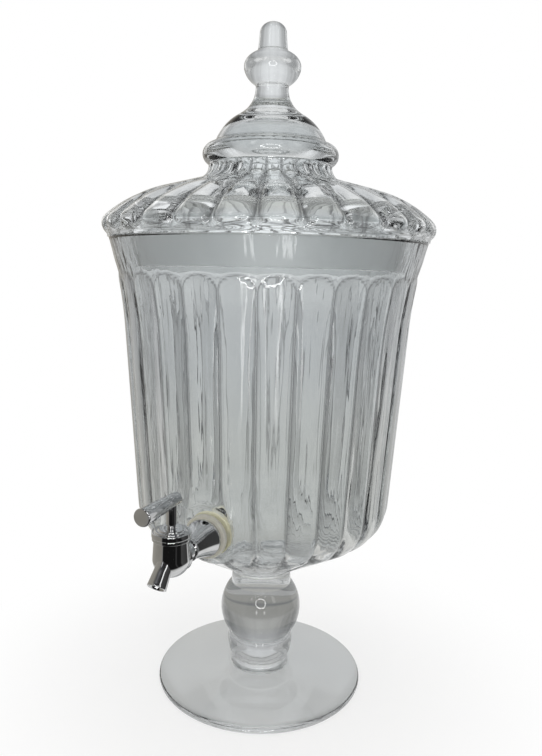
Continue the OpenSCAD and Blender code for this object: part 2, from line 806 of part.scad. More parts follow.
module handle_bar() {
    l = bar_front_l + bar_back_l;
    color(chrome_c)
        difference() {
            along_bar(bar_back_l)
                turned([[0, 0], [bar_back_d / 2 - bar_bevel, 0], [bar_back_d / 2, bar_bevel],
                    [bar_front_d / 2, l - bar_bevel], [bar_front_d / 2 - bar_bevel, l], [0, l]]);
            at_barrel()
                cylinder(d = post_d + 2 * fit_gap, h = post_top);
            along_bar(bar_back_l + 1)
                cylinder(d = screw_d + 2 * fit_gap, h = bar_back_l + 1);
        }
}

module handle_set_screw() {
    l = bar_back_l - post_d / 2 - 0.5;
    color(chrome_c)
        along_bar(post_d / 2 + l)
            difference() {
                cylinder(d = screw_d, h = l);
                translate([0, 0, -1])
                    cylinder(d = screw_d * 0.5, h = l / 2 + 1, $fn = 6);
            }
}

foot();
stem_ring();
stem_ball();
tank();
lid_shell();
lid_crown();
finial();
tap_body();
spout_tube();
collar();
outer_washer();
inner_washer();
lock_nut();
bonnet();
bonnet_gasket();
stem_o_ring();
valve_plug();
plug_o_rings();
stop_pin();
handle_post();
handle_bar();
handle_set_screw();
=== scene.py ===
"""Looks of a footed glass drink dispenser: lobed glass tank and lid, chrome quarter-turn tap."""
import math

import bmesh
import bpy
import numpy as np
from mathutils import Matrix, Vector


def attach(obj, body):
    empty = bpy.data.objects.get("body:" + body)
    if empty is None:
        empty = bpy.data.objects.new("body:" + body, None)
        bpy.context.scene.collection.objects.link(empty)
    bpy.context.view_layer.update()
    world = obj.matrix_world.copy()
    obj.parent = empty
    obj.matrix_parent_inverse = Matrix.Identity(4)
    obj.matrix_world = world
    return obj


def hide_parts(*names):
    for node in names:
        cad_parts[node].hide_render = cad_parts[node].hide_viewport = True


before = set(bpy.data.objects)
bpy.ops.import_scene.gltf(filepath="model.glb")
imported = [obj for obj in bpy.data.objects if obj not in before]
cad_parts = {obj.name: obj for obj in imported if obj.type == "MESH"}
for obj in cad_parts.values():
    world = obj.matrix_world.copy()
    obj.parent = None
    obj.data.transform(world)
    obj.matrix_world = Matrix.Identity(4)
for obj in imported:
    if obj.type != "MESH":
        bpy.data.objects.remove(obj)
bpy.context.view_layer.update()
scene = bpy.context.scene
MM = 0.001

# Sizes of the foot and the stem, in millimetres as in the part's source
FOOT_R = 91.0
FOOT_EDGE_R = 2.0
FOOT_ROOT = (30.5, 13.2)
FOOT_NECK_R = 24.3
FOOT_H = 19.0
RING_R = 28.7
RING_H = 22.0
RING_TOP = FOOT_H + RING_H
BALL_R = 35.6
SEAT_R = 26.5

# Driving sizes of the tank, with slopes in degrees
TANK_Z = RING_TOP + 2 * math.sqrt(BALL_R ** 2 - SEAT_R ** 2)
TANK_H = 299.4
NECK_R = 26.0
NECK_H = 10.87
NECK_FILLET = 5.0
CONE_A = 30.0
LEAN_A = 3.76
MEET_R = 107.4  # where the lines of the underside and the wall meet
CORNER_R = 36.0
RIM_R = 130.5
RIM_ROUND = 1.2
FLARE_H = 70.0
WALL = 6.5
FLOOR_R = 26.0
FLOOR_H = 31.0
BAND_H = 27.0
ARCH_H = 11.0

# Lines of the tank
CONE_T, LEAN_T = math.radians(CONE_A), math.radians(LEAN_A)
RIM_Z = TANK_Z + TANK_H
FLOOR_Z = TANK_Z + FLOOR_H
FILLET_Z = TANK_Z + NECK_H
CONE_R = NECK_R + NECK_FILLET * (1 - math.sin(CONE_T))
CONE_Z = FILLET_Z + NECK_FILLET * math.cos(CONE_T)
CORNER_Z = CONE_Z + (MEET_R - CONE_R) * math.tan(CONE_T)
CORNER_RUN = CORNER_R * math.tan(math.radians(90 - CONE_A - LEAN_A) / 2)
CORNER_C = (MEET_R - CORNER_RUN * math.cos(CONE_T) - CORNER_R * math.sin(CONE_T),
            CORNER_Z - CORNER_RUN * math.sin(CONE_T) + CORNER_R * math.cos(CONE_T))
WALL_Z = CORNER_Z + CORNER_RUN * math.cos(LEAN_T)
FINE_Z = CORNER_Z + 55.703  # the mesh has closer rows below this height
FLARE_Z = RIM_Z - FLARE_H
FLARE_OUT = RIM_R - MEET_R - (RIM_Z - CORNER_Z) * math.tan(LEAN_T)
ARCH_Z = RIM_Z - BAND_H - ARCH_H

# Lobes, with the places of the mesh's columns across one lobe
LOBES = 28
TANK_LOBE = 2.4
LID_LOBE = 4.2
LOBE_STOPS = (-1.0, -0.96, -0.9, -0.8, -0.64, -0.36, 0.0, 0.36, 0.64, 0.8, 0.9, 0.96)
COLUMNS = LOBES * len(LOBE_STOPS)

# Lid: a rounded edge, a bend, a straight slope and a fillet at the neck
LID_OVERHANG = 5.3
LID_LIFT = 0.15  # gap between the flange and the rim
LID_WALL = 7.5
EDGE_R = 9.0
EDGE_H = 10.0
EDGE_C = (RIM_R + LID_OVERHANG - EDGE_R, RIM_Z + EDGE_H)
OUTER_A = 42.0
INNER_A = 15.5
OUTER_T, INNER_T = math.radians(OUTER_A), math.radians(INNER_A)
BEND_R = 100.0
BEND_C = (EDGE_C[0] + (EDGE_R - BEND_R) * math.sin(OUTER_T),
          EDGE_C[1] + (EDGE_R - BEND_R) * math.cos(OUTER_T))
BEND_END = (BEND_C[0] + BEND_R * math.sin(INNER_T), BEND_C[1] + BEND_R * math.cos(INNER_T))
LID_NECK_R = 50.5
LID_FILLET = 12.5
LID_FILLET_R = LID_NECK_R + LID_FILLET * (1 - math.sin(INNER_T))
LID_TOP = (BEND_END[1] + (BEND_END[0] - LID_FILLET_R) * math.tan(INNER_T)
           + LID_FILLET * math.cos(INNER_T))
LID_NECK_C = (LID_NECK_R + LID_FILLET, LID_TOP)
FLANGE_OVERHANG = 1.0
FLANGE_R = RIM_R + FLANGE_OVERHANG
FLANGE_TOP = (FLANGE_R + 0.285, RIM_Z + 3.106)  # towards the rounded edge
SKIRT_GAP = 11.0
SKIRT_R = RIM_R - WALL - SKIRT_GAP
SKIRT_H = 21.0
SKIRT_TAPER = 2.0
SKIRT_WALL = 6.0
SKIRT_ROUND = 1.6
SHOULDER_R = 119.0  # where the dome's inside runs into the skirt
LID_ARCH_Z = RIM_Z + 13.056  # below this height the painted shade of the grooves ends in arches
LID_ARCH_H = 8.0

# Crown and finial
BEAD_R = 8.5
BEAD_OUT_R = 55.6
BEAD_C = (BEAD_OUT_R - BEAD_R, LID_TOP + BEAD_R)
CAP_Z = LID_TOP + 2 * BEAD_R
CAP_R = 42.0
CAP_OUT_R = 46.0
CAP_SIDE_T, CAP_SLOPE_T = math.radians(70.5), math.radians(22.5)
CAP_C = (CAP_OUT_R - CAP_R * math.sin(CAP_SIDE_T), CAP_Z - CAP_R * math.cos(CAP_SIDE_T))
CAP_IN_R = CAP_OUT_R - 7.0
CAP_IN_H = CAP_R * (math.cos(CAP_SLOPE_T) - math.cos(CAP_SIDE_T)) - 3.0
CROWN_IN_R = 43.0
CROWN_H = 63.404
CROWN_TOP = LID_TOP + CROWN_H
FINIAL_NECK_R = 13.3
KNOP_R = 23.0
KNOP_LOW_H = 17.4
KNOP_HIGH_H = 13.2
TIP_ROOT_R = 11.9
TIP_R = 10.9
TIP_ROUND_H = 9.04
KNOP_LOW_T = math.acos(FINIAL_NECK_R / KNOP_R)
KNOP_HIGH_T = math.acos(TIP_ROOT_R / KNOP_R)
KNOP_Z = CROWN_TOP + KNOP_LOW_H * math.sin(KNOP_LOW_T)
TIP_Z = KNOP_Z + KNOP_HIGH_H * math.sin(KNOP_HIGH_T)
TIP_H = 22.6
TOP_Z = TIP_Z + TIP_H

# Fitting of the tap: places along its axis, outward from the tank's axis
TAP_RISE = 19.0
TAP_Z = CORNER_Z + TAP_RISE
PAD_SINK = 2.7
PAD_WALL = 6.5
PAD_Y = MEET_R + TAP_RISE * math.tan(LEAN_T) - PAD_SINK
PAD_IN_Y = PAD_Y - PAD_WALL
PAD_R = 18.7
PAD_FADE_R = 29.0
PAD_IN_FADE_R = 27.0
PAD_SKIN = 0.06  # the glass stays this far inside the pad's faces
HOLE_R = 8.5
OUTER_WASHER_R = 17.0
OUTER_WASHER_H = 4.5
INNER_WASHER_R = 17.5
INNER_WASHER_H = 3.0
NUT_H = 8.0
NUT_FLAT_R = 15.0
NUT_CORNER_R = 17.3
COLLAR_L = 24.0
COLLAR_R = 14.2
COLLAR_END_R = 8.4
COLLAR_Y = PAD_Y + OUTER_WASHER_H
SHOULDER_Y = COLLAR_Y + COLLAR_L
BARREL_REACH = 47.0
BARREL_Y = COLLAR_Y + BARREL_REACH
NUT_Y = PAD_IN_Y - INNER_WASHER_H
SHANK_OVER = 4.0
SHANK_Y = NUT_Y - NUT_H - SHANK_OVER
SHANK_R = 7.7
SHANK_BORE_R = 4.2
FIT_GAP = 0.03
FITTED_R = SHANK_R + FIT_GAP
THREAD_PITCH = 1.8
THREAD_DEPTH = 0.7

# Body, spout, bonnet and handle of the tap, with heights above the barrel's rounding centre
BARREL_LIFT = 2.5
BARREL_Z = TAP_Z + BARREL_LIFT
BARREL_R = 12.8
BARREL_TOP_R = 11.95
BARREL_H = 16.0
LIP_R = 13.1
LIP_Z = 13.8
SHOULDER_RING_R = 8.8
INLET_R = 7.6
SPIGOT_BORE_R = 9.5
SPOUT_LEAN = math.radians(42)
SPOUT_REACH = 19.2
SPOUT_DROP = 13.4
SPOUT_R = 5.9
SPOUT_BORE_R = 4.6
OUTLET_R = 6.68
SPIGOT_R = 9.4
BONNET_R = 13.4
BONNET_H = 3.6
STEP_R = 11.7
BOSS_R = 9.1
STEP_H = 0.9
STEP_BEVEL = 0.35
SPINDLE_HOLE_R = 3.06
POST_BORE_R = 3.05
POST_R = 3.65
POST_Z = 24.2
POST_TOP = 42.9
BAR_RISE = 40.4
BAR_L = 43.2
BAR_BACK_L = 7.2
BAR_BACK_R = 4.3
BAR_FRONT_R = 6.1
BAR_HOLE_R = 1.53


# Outlines
def arc(c, r, a, b, n):
    """Points of an arc, in degrees."""
    turns = [math.radians(a + (b - a) * i / n) for i in range(n + 1)]
    return [(c[0] + r * math.cos(t), c[1] + r * math.sin(t)) for t in turns]


def line(p, q, n):
    """Points from p to q, without the last."""
    return [(p[0] + (q[0] - p[0]) * i / n, p[1] + (q[1] - p[1]) * i / n) for i in range(n)]


def curve(p, mid, q, n):
    """Points of a rounded corner from p to q, drawn towards mid."""
    out = []
    for i in range(n + 1):
        t = i / n
        shares = ((1 - t) ** 2, 2 * t * (1 - t), t * t)
        out.append(tuple(shares[0] * p[k] + shares[1] * mid[k] + shares[2] * q[k] for k in (0, 1)))
    return out


def rounded(points, r, n=4):
    """Rounds the inner points of an outline by cutting r along both sides."""
    out = [points[0]]
    for before, here, after in zip(points, points[1:], points[2:]):
        h = Vector(here)
        a, b = Vector(before) - h, Vector(after) - h
        k = min(r, a.length * 0.48, b.length * 0.48)
        out += curve(tuple(h + a.normalized() * k), here, tuple(h + b.normalized() * k), n)
    return out + [points[-1]]


def spread(a, b, n):
    """Even steps from a to b, without the last."""
    return [a + (b - a) * i / n for i in range(n)]


def smooth(low, high, x):
    """Runs softly from 0 at low to 1 at high."""
    t = min(1.0, max(0.0, (x - low) / (high - low)))
    return t * t * (3 - 2 * t)


def polar(r, a, z):
    return (r * math.cos(a), r * math.sin(a), z)


def wall_r(z):
    """Outer radius of the tank's wall and flare at a height."""
    bulge = 0 if z < FLARE_Z else FLARE_OUT * ((z - FLARE_Z) / FLARE_H) ** 2
    return MEET_R + (z - CORNER_Z) * math.tan(LEAN_T) + bulge


# Meshes
def make_piece(bm, name, sharp=45, body=None, mat=None, node=None):
    """Turns a bmesh in millimetres into a smooth piece that rides on a body."""
    bmesh.ops.remove_doubles(bm, verts=bm.verts, dist=0.0005)
    mesh = bpy.data.meshes.new(name)
    bmesh.ops.scale(bm, vec=(MM, MM, MM), verts=bm.verts)
    bm.to_mesh(mesh)
    bm.free()
    mesh.shade_smooth()
    mesh.set_sharp_from_angle(angle=math.radians(sharp))
    obj = bpy.data.objects.new(name, mesh)
    scene.collection.objects.link(obj)
    if mat:
        mesh.materials.append(mat)
    if body:
        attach(obj, body)
    if node:
        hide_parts(node)
    return obj


def rings(bm, rows):
    """Skins rows of points into faces; a row of one point is a pole. Rows run up the outside."""
    made = [[bm.verts.new(p) for p in row] for row in rows]
    for low, high in zip(made, made[1:]):
        n = max(len(low), len(high))
        for j in range(n):
            k = (j + 1) % n
            if len(low) == 1:
                bm.faces.new((low[0], high[k], high[j]))
            elif len(high) == 1:
                bm.faces.new((low[j], low[k], high[0]))
            else:
                bm.faces.new((low[j], low[k], high[k], high[j]))


def lathe(bm, outline, n=96, place=None, radius=None):
    """Turns an outline of (radius, height) about Z, with an optional radius for each angle."""
    place = place or Matrix.Identity(4)
    rows = []
    for r, z in outline:
        if r < 1e-6:
            rows.append([place @ Vector((0, 0, z))])
            continue
        row = []
        for j in range(n):
            a = -math.pi / 2 + 2 * math.pi * j / n
            q = radius(r, z, a) if radius else r
            row.append(place @ Vector(polar(q, a, z)))
        rows.append(row)
    rings(bm, rows)


def turned_piece(name, outlines, body, mat, node, sharp=45, n=96):
    """A piece of one or more turned outlines, each with its place."""
    bm = bmesh.new()
    for outline, place in outlines:
        lathe(bm, outline, n, place)
    return make_piece(bm, name, sharp, body, mat, node)


def glass_piece(name, outlines, body, node, mat):
    """A piece of turned glass with as many columns as the lobed pieces."""
    places = [(outline, None) for outline in outlines]
    turned_piece(name, places, body, mat, node, 45, COLUMNS)


def chrome_piece(name, outline, place, body, node, n=128):
    """A piece of turned chrome at its place."""
    turned_piece(name, [(outline, place)], body, CHROME, node, 40, n)


def along_tap(y):
    """A place on the tap's axis, with Z pointing outward."""
    return Matrix.Translation((0, -y, TAP_Z)) @ Matrix.Rotation(math.pi / 2, 4, "X")


def at_barrel(z=0.0):
    """A place on the barrel's axis, above its rounding centre."""
    return Matrix.Translation((0, -BARREL_Y, BARREL_Z + z))


# Materials
def material(name):
    mat = bpy.data.materials.new(name)
    mat.use_nodes = True
    tree = mat.node_tree
    return mat, tree, tree.nodes["Principled BSDF"]


def add(tree, kind, **inputs):
    """A new node with some of its inputs set."""
    node = tree.nodes.new(kind)
    for key, value in inputs.items():
        node.inputs[key.replace("_", " ")].default_value = value
    return node


def own_space(tree):
    """The object's own coordinates, in metres."""
    return tree.nodes.new("ShaderNodeTexCoord").outputs["Object"]


def noise(tree, space, **inputs):
    node = add(tree, "ShaderNodeTexNoise", **inputs)
    tree.links.new(space, node.inputs["Vector"])
    return node.outputs["Fac"]


def bump(tree, height, strength, distance, under=None):
    """A bumped normal, on top of another one where it is given."""
    node = add(tree, "ShaderNodeBump", Strength=strength, Distance=distance)
    tree.links.new(height, node.inputs["Height"])
    if under:
        tree.links.new(under, node.inputs["Normal"])
    return node.outputs["Normal"]


def ramp(tree, source, stops):
    node = tree.nodes.new("ShaderNodeValToRGB")
    for element, (at, colour) in zip(node.color_ramp.elements, stops):
        element.position = at
        element.color = (*colour, 1)
    tree.links.new(source, node.inputs[0])
    return node.outputs[0]


def span(tree, source, low, high):
    node = add(tree, "ShaderNodeMapRange", To_Min=low, To_Max=high)
    tree.links.new(source, node.inputs["Value"])
    return node.outputs["Result"]


def scaled(share, colour):
    return tuple(share * c for c in colour)


def glass(name, tone, rough=0.0, drawn=0.0, groove=1.0):
    """Clear glass: matt where it is ground, lined where it is drawn, with painted shade darkening
    the colour along marked grooves.
    """
    mat, tree, bsdf = material(name)
    space = own_space(tree)
    bsdf.inputs["Transmission Weight"].default_value = 1.0
    bsdf.inputs["IOR"].default_value = 1.5
    cloud = noise(tree, space, Scale=9.0, Detail=2.0)
    stops = [(0.35, scaled(tone, (0.955, 0.98, 0.985))), (0.65, scaled(tone, (1.0, 1.02, 1.02)))]
    colour = ramp(tree, cloud, stops)
    # Painted shade: the base colour turns darker where the groove attribute marks a crease
    if groove < 1:
        painted_shade = tree.nodes.new("ShaderNodeAttribute")
        painted_shade.attribute_name = "groove"
        mix = tree.nodes.new("ShaderNodeMixRGB")
        tree.links.new(painted_shade.outputs["Fac"], mix.inputs[0])
        tree.links.new(colour, mix.inputs[1])
        mix.inputs[2].default_value = (*scaled(groove * tone, (1.0, 1.02, 1.04)), 1)
        colour = mix.outputs[0]
    tree.links.new(colour, bsdf.inputs["Base Color"])
    film = noise(tree, space, Scale=60.0, Detail=4.0)
    tree.links.new(span(tree, film, rough, rough + 0.03), bsdf.inputs["Roughness"])
    lines = None
    if drawn:
        upright = add(tree, "ShaderNodeMapping", Scale=(1.0, 1.0, 0.03))
        tree.links.new(space, upright.inputs["Vector"])
        fine = noise(tree, upright.outputs["Vector"], Scale=170.0, Detail=1.5, Roughness=0.45)
        lines = bump(tree, fine, drawn, 0.001)
    ripple = noise(tree, space, Scale=34.0, Detail=2.0, Roughness=0.4)
    tree.links.new(bump(tree, ripple, 0.08, 0.0012, lines), bsdf.inputs["Normal"])
    return mat


def chrome():
    """Bright metal with a faint haze and a slight wave."""
    mat, tree, bsdf = material("chrome")
    space = own_space(tree)
    bsdf.inputs["Metallic"].default_value = 1.0
    haze = noise(tree, space, Scale=140.0, Detail=4.0)
    colour = ramp(tree, haze, [(0.3, (0.55, 0.555, 0.56)), (0.7, (0.62, 0.625, 0.63))])
    tree.links.new(colour, bsdf.inputs["Base Color"])
    tree.links.new(span(tree, haze, 0.02, 0.10), bsdf.inputs["Roughness"])
    wave = noise(tree, space, Scale=110.0, Detail=1.0)
    tree.links.new(bump(tree, wave, 0.04, 0.0006), bsdf.inputs["Normal"])
    return mat


def soft(name, dark, light, rough, clear=0.0):
    """Silicone, plastic and rubber: mottled colour, uneven gloss and a fine moulded grain."""
    mat, tree, bsdf = material(name)
    space = own_space(tree)
    cloud = noise(tree, space, Scale=120.0, Detail=5.0)
    tree.links.new(ramp(tree, cloud, [(0.3, dark), (0.7, light)]), bsdf.inputs["Base Color"])
    tree.links.new(span(tree, cloud, rough - 0.08, rough + 0.1), bsdf.inputs["Roughness"])
    grain = noise(tree, space, Scale=1500.0, Detail=2.0)
    tree.links.new(bump(tree, grain, 0.15, 0.0002), bsdf.inputs["Normal"])
    bsdf.inputs["Transmission Weight"].default_value = clear
    return mat


GLASS = glass("clear_glass", 0.76)
# groove sets how dark the painted shade is in the grooves of the lid and the tank
LID_GLASS = glass("clear_glass_lid", 0.94, groove=0.26)
DRAWN_GLASS = glass("clear_glass_drawn", 0.79, drawn=0.36, groove=0.2)
THICK_GLASS = glass("clear_glass_thick", 0.43)
GROUND_GLASS = glass("clear_glass_ground", 0.7, rough=0.42)
CHROME = chrome()
SILICONE = soft("silicone", (0.95, 0.87, 0.58), (0.97, 0.92, 0.7), 0.45)
CLEAR_SILICONE = soft("silicone_clear", (0.9, 0.88, 0.78), (0.95, 0.93, 0.86), 0.35, 0.55)
NUT = soft("nut_plastic", (0.88, 0.85, 0.73), (0.93, 0.91, 0.82), 0.45)
RUBBER = soft("seal_rubber", (0.04, 0.04, 0.043), (0.07, 0.07, 0.074), 0.6)


# Lobes of the tank and the lid
def lobe_u(j):
    """Place of a column across its lobe, from -1 to 1 between the grooves."""
    return LOBE_STOPS[j % len(LOBE_STOPS)]


def lobe_angle(j):
    return -math.pi / 2 + (2 * (j // len(LOBE_STOPS)) + lobe_u(j)) * math.pi / LOBES


def across_lobe(x, y):
    """0 on the back of the nearest lobe and 1 in the groove beside it."""
    turn = (math.atan2(y, x) + math.pi / 2) * LOBES / math.pi
    return abs((turn + 1) % 2 - 1)


def crease(u):
    """Depth across a lobe, 0 on its back and 1 at the bottom of the rounded groove beside it."""
    u = min(1.0, abs(u))
    if u < 0.9:
        return 0.51 * u ** 2 + 0.76 * u ** 6
    return 1 - 18.1 * (1 - u) ** 2


def tank_sink(u, r, z):
    """Depth of the tank's surface below its crest, with rounded lobe tops."""
    full = TANK_LOBE * min(1.0, max(0.0, (r - CONE_R) / (MEET_R - CONE_R)))
    full *= 1 - 0.6 * smooth(ARCH_Z - 50, ARCH_Z + 6, z)
    q = math.hypot(u, max(0.0, z - ARCH_Z) / ARCH_H)
    return full * crease(q) if q < 1 else full * (1 - smooth(1.0, 2.2, q))


def lid_sink(u, r, z):
    """Depth of the lid's surface below its crest, shallow towards the neck."""
    if z < RIM_Z + 3 or z > LID_TOP - 1:
        return 0.0
    return LID_LOBE * crease(u) * min(1.0, r / EDGE_C[0]) * smooth(RIM_Z + 3, RIM_Z + 7, z)


def normals(points):
    """Outward direction at each point of an outline that runs up the outside."""
    d = np.gradient(np.array(points), axis=0)
    d /= np.linalg.norm(d, axis=1)[:, None]
    return np.stack([d[:, 1], -d[:, 0]], 1)


def paint_groove_shade(obj, shade):
    """Keeps how much painted shade darkens the glass at each vertex, from its place in
    millimetres.
    """
    painted_shade = obj.data.attributes.new("groove", "FLOAT", "POINT")
    for vertex, mark in zip(obj.data.vertices, painted_shade.data):
        mark.value = shade(*(vertex.co / MM))


# Glass of the tank, the stem and the foot
def flatten(p, plane, near, far):
    """Draws a point of the wall onto the flat pad round the tap's hole."""
    if p[1] > 0:
        return p
    w = 1 - smooth(near, far, math.hypot(p[0], p[2] - TAP_Z))
    return (p[0], p[1] + w * (-plane - p[1]), p[2])


def tank_outside():
    """Crest line of the tank from its seat to the rim."""
    arch_top = ARCH_Z + 1.4 * ARCH_H
    corner = arc(CORNER_C, CORNER_R, CONE_A - 90, -LEAN_A, 30)
    out = line((SEAT_R, TANK_Z), (NECK_R, FILLET_Z), 6)
    out += arc((NECK_R + NECK_FILLET, FILLET_Z), NECK_FILLET, 180, 90 + CONE_A, 16)
    out += line((CONE_R, CONE_Z), corner[0], 16)[1:] + corner
    heights = spread(WALL_Z, FINE_Z, 24)[1:] + spread(FINE_Z, FLARE_Z, 14)
    heights += spread(FLARE_Z, ARCH_Z, 12) + spread(ARCH_Z, arch_top, 26)
    heights += spread(arch_top, RIM_Z - RIM_ROUND, 8)
    return out + [(wall_r(z), z) for z in heights]


def tank_inside():
    """Line over the rounded rim and down the inside to the floor."""
    low = RIM_Z - RIM_ROUND
    in_r = RIM_R - WALL
    out = curve((wall_r(low), low), (RIM_R, RIM_Z), (RIM_R - RIM_ROUND, RIM_Z), 5)
    out += curve((in_r + RIM_ROUND, RIM_Z), (in_r, RIM_Z), (wall_r(low) - WALL, low), 5)
    heights = spread(low, FINE_Z, 30)[1:] + spread(FINE_Z, WALL_Z + 1, 20)
    out += [(wall_r(z) - WALL, z) for z in heights]
    corner = arc(CORNER_C, CORNER_R - WALL, -LEAN_A, CONE_A - 90, 26)
    floor_edge = (FLOOR_R, FLOOR_Z)
    wall_foot = tuple(0.55 * corner[-1][k] + 0.45 * floor_edge[k] for k in (0, 1))
    out += corner + line(corner[-1], wall_foot, 8)[1:]
    return out + curve(wall_foot, floor_edge, (8, FLOOR_Z), 12)


def build_tank():
    """Lobed wall whose grooves are pushed outward round the tap's pad."""
    crest = np.array(tank_outside())
    out_dir = normals(crest)
    length = np.concatenate([[0], np.cumsum(np.linalg.norm(np.diff(crest, axis=0), axis=1))])
    tap_s = float(np.interp(TAP_Z, crest[:, 1], length))
    tap_r, reach, push = wall_r(TAP_Z), 46.0, 0.32

    def at_length(s, values):
        return np.array([np.interp(s, length, values[:, k]) for k in (0, 1)])

    rows = [[(0, 0, TANK_Z)]]
    for i, (r, z) in enumerate(crest):
        row = []
        for j in range(COLUMNS):
            a = lobe_angle(j)
            q, n = crest[i], out_dir[i]
            turn = (a + math.pi / 2 + math.pi) % (2 * math.pi) - math.pi
            t, s = tap_r * turn, length[i] - tap_s
            d = math.hypot(t, s)
            if 0 < d < reach:
                k = (d / reach) ** -push
                a += (t * k - t) / tap_r
                q, n = at_length(tap_s + s * k, crest), at_length(tap_s + s * k, out_dir)
            q = q - n * tank_sink(lobe_u(j), r, z)
            row.append(flatten(polar(q[0], a, q[1]), PAD_Y - PAD_SKIN, PAD_R, PAD_FADE_R))
        rows.append(row)
    for r, z in tank_inside():
        points = [polar(r, lobe_angle(j), z) for j in range(COLUMNS)]
        rows.append([flatten(p, PAD_IN_Y + PAD_SKIN, PAD_R, PAD_IN_FADE_R) for p in points])
    rows.append([(0, 0, FLOOR_Z)])
    bm = bmesh.new()
    rings(bm, rows)
    return bm


def bore_tank(bm):
    """Cuts the tap's hole through the pad, then opens the seat on the ball."""
    whole = make_piece(bm, "tank_whole")
    cut = bmesh.new()
    lathe(cut, [(0, -6), (HOLE_R, -6), (HOLE_R, 14), (0, 14)], 96, along_tap(PAD_IN_Y - 2))
    drill = make_piece(cut, "tank_drill")
    mod = whole.modifiers.new("bore", "BOOLEAN")
    mod.operation, mod.solver, mod.object = "DIFFERENCE", "EXACT", drill
    evaluated = whole.evaluated_get(bpy.context.evaluated_depsgraph_get())
    made = bpy.data.meshes.new_from_object(evaluated)
    for old in (whole, drill):
        bpy.data.objects.remove(old)
    bm = bmesh.new()
    bm.from_mesh(made)
    bmesh.ops.scale(bm, vec=(1 / MM, 1 / MM, 1 / MM), verts=bm.verts)
    seat = [f for f in bm.faces if all(abs(v.co.z - TANK_Z) < 0.001 for v in f.verts)]
    bmesh.ops.delete(bm, geom=seat, context="FACES")
    return bm


def tank_groove_shade(x, y, z):
    """Painted shade: darker lines along the outer grooves and over the lobe tops, clear of the
    pad.
    """
    if math.hypot(x, y) < wall_r(z) - 3.6 or z < CORNER_Z:
        return 0.0
    q = math.hypot(across_lobe(x, y), max(0.0, z - ARCH_Z) / ARCH_H)
    dark = smooth(0.86, 0.96, q) * (1 - 0.7 * smooth(0.965, 1.0, q)) * (1 - smooth(1.0, 1.08, q))
    clear_of_pad = smooth(26, 46, math.hypot(x, z - TAP_Z)) if y < 0 else 1.0
    return dark * clear_of_pad * smooth(CORNER_Z, CORNER_Z + 20, z)


tank_bm = bore_tank(build_tank())
tank = make_piece(tank_bm, "tank_glass", 50, "urn", DRAWN_GLASS, "tank")
paint_groove_shade(tank, tank_groove_shade)

# Foot
foot_line = [(0, 0)] + line((20, 0), (FOOT_R - 3, 0), 8)
foot_line += arc((FOOT_R - FOOT_EDGE_R, FOOT_EDGE_R), FOOT_EDGE_R, -80, 90, 14)
foot_line += line((FOOT_R - 2.5, 4.1), FOOT_ROOT, 16)
foot_line += curve(FOOT_ROOT, (25.0, 13.9), (FOOT_NECK_R, FOOT_H - 1.4), 12)
foot_line += [(FOOT_NECK_R, FOOT_H)]
glass_piece("foot_glass", [foot_line], "urn", "foot", GLASS)

# Ring and ball of the stem
ring_line = []
for turn in [math.pi * step / 30 for step in range(31)]:
    rise = (1 - math.cos(turn)) / 2
    swell = (RING_R - (FOOT_NECK_R + SEAT_R) / 2) * math.sin(turn)
    ring_line.append((FOOT_NECK_R + (SEAT_R - FOOT_NECK_R) * rise + swell,
                      FOOT_H + (RING_TOP - FOOT_H) * rise))
glass_piece("stem_ring_glass", [ring_line], "urn", "stem_ring", THICK_GLASS)

seat_a = math.degrees(math.acos(SEAT_R / BALL_R))
ball_line = arc((0, (RING_TOP + TANK_Z) / 2), BALL_R, -seat_a, seat_a, 48)
glass_piece("stem_ball_glass", [ball_line], "urn", "stem_ball", THICK_GLASS)


# Glass of the lid
def lid_crest():
    """Line over the flange, the edge and the dome, up to the lid's neck."""
    fillet = arc(LID_NECK_C, LID_FILLET, 270 - INNER_A, 180, 18)
    out = line((FLANGE_R, RIM_Z + LID_LIFT), FLANGE_TOP, 3)
    out += arc(EDGE_C, EDGE_R, -50, 90 - OUTER_A, 26)
    for t in spread(OUTER_T, INNER_T, 22)[1:]:
        out.append((BEND_C[0] + BEND_R * math.sin(t), BEND_C[1] + BEND_R * math.cos(t)))
    return np.array(out + line(BEND_END, fillet[0], 12) + fillet)


def lid_underside(shoulder):
    """Line from the shoulder down the skirt's inside, up its outside and along the flange."""
    low_r, low_z = SKIRT_R - SKIRT_TAPER, RIM_Z - SKIRT_H
    in_r, in_z = low_r - SKIRT_WALL, shoulder[1] - 12
    round_z = low_z + SKIRT_ROUND
    seat_z = RIM_Z + LID_LIFT
    out = curve(tuple(shoulder), (in_r + 1.5, shoulder[1] - 3.5), (in_r, in_z), 14)[1:]
    out += line((in_r, in_z), (in_r, round_z), 6)[1:]
    out += curve((in_r, round_z), (in_r, low_z), (in_r + SKIRT_ROUND, low_z), 4)
    out += curve((low_r - SKIRT_ROUND, low_z), (low_r, low_z), (low_r, round_z), 4)
    out += line((low_r, round_z), (SKIRT_R, RIM_Z - 1.5), 6)[1:]
    out += curve((SKIRT_R, RIM_Z - 1.5), (SKIRT_R, seat_z), (SKIRT_R + 1.5, seat_z), 4)
    return out + line((SKIRT_R + 1.5, seat_z), (FLANGE_R, seat_z), 5)[1:]


def build_lid():
    crest = lid_crest()
    out_dir = normals(crest)
    inside = [i for i in range(len(crest)) if crest[i][0] < SHOULDER_R][::-1]
    shoulder = crest[inside[-1]] - out_dir[inside[-1]] * LID_WALL

    def lobed_row(i, depth, share):
        row = []
        for j in range(COLUMNS):
            q = crest[i] - out_dir[i] * (depth + share * lid_sink(lobe_u(j), *crest[i]))
            row.append(polar(q[0], lobe_angle(j), q[1]))
        return row

    rows = []
    for i in inside:
        rows.append(lobed_row(i, LID_WALL, 0.9 * (1 - smooth(104, SHOULDER_R, crest[i][0]))))
    for r, z in lid_underside(shoulder):
        rows.append([polar(r, lobe_angle(j), z) for j in range(COLUMNS)])
    rows += [lobed_row(i, 0, 1) for i in range(len(crest))]
    bm = bmesh.new()
    rings(bm, rows)
    return bm


